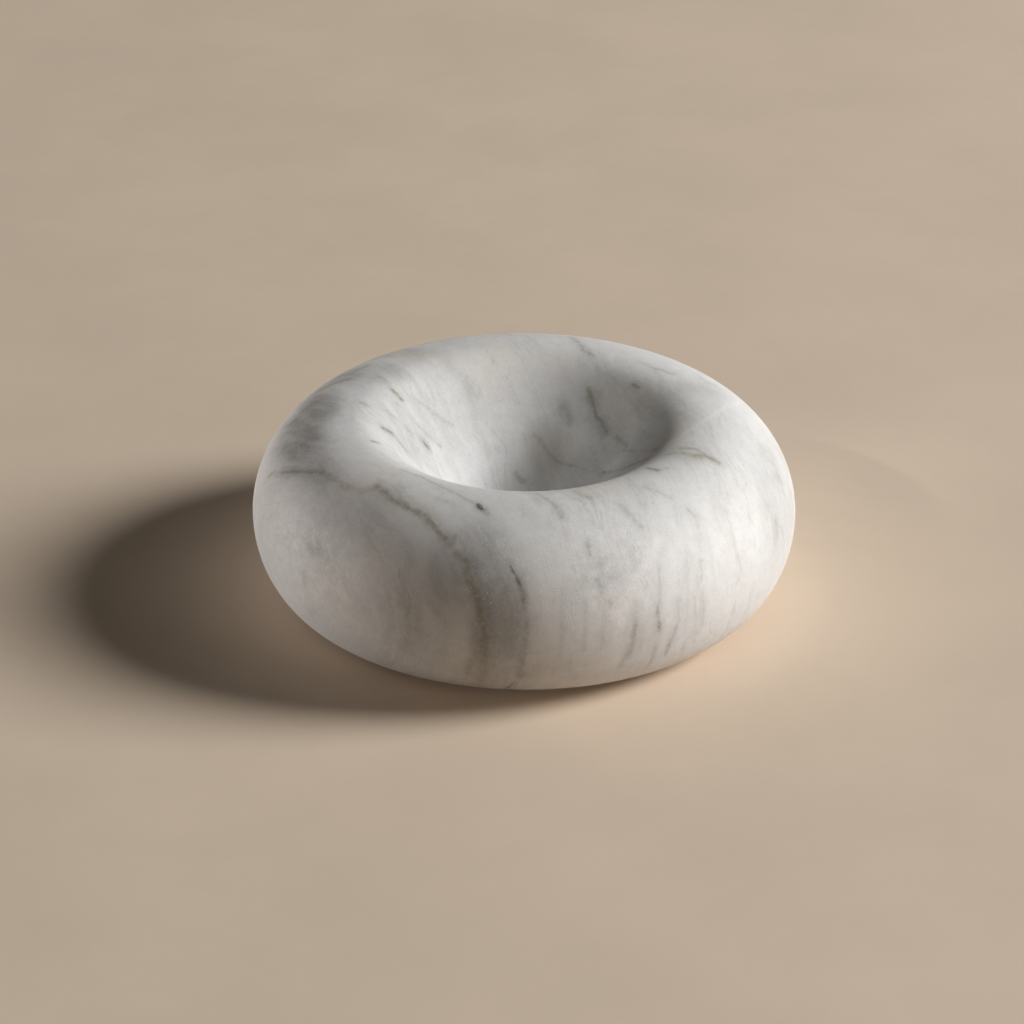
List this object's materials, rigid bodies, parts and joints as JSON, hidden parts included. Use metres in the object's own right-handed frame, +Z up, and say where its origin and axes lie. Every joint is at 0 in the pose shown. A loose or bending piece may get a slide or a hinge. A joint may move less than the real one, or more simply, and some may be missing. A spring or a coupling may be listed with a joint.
{
  "type": "ring dish",
  "caption": "Round marble ring dish: a thick, softly rounded stone ring that flows into a smooth bowl, standing on small rubber pads.",
  "frame": {"origin": "on the surface that the dish stands on, at the middle of the dish", "axes": "+Z up along the axis that the dish is turned around; the dish is round, so +X and +Y are free, and the four pads lie between them"},
  "size_m": [0.1, 0.1, 0.0345],
  "materials": {
    "marble": "honed white marble with grey and olive veins",
    "pad_rubber": "soft pale silicone rubber, matt"
  },
  "bodies": {
    "root": {"stone_dish": "marble", "foot_pad_1": "pad_rubber", "foot_pad_2": "pad_rubber", "foot_pad_3": "pad_rubber", "foot_pad_4": "pad_rubber"}
  },
  "joints": []
}
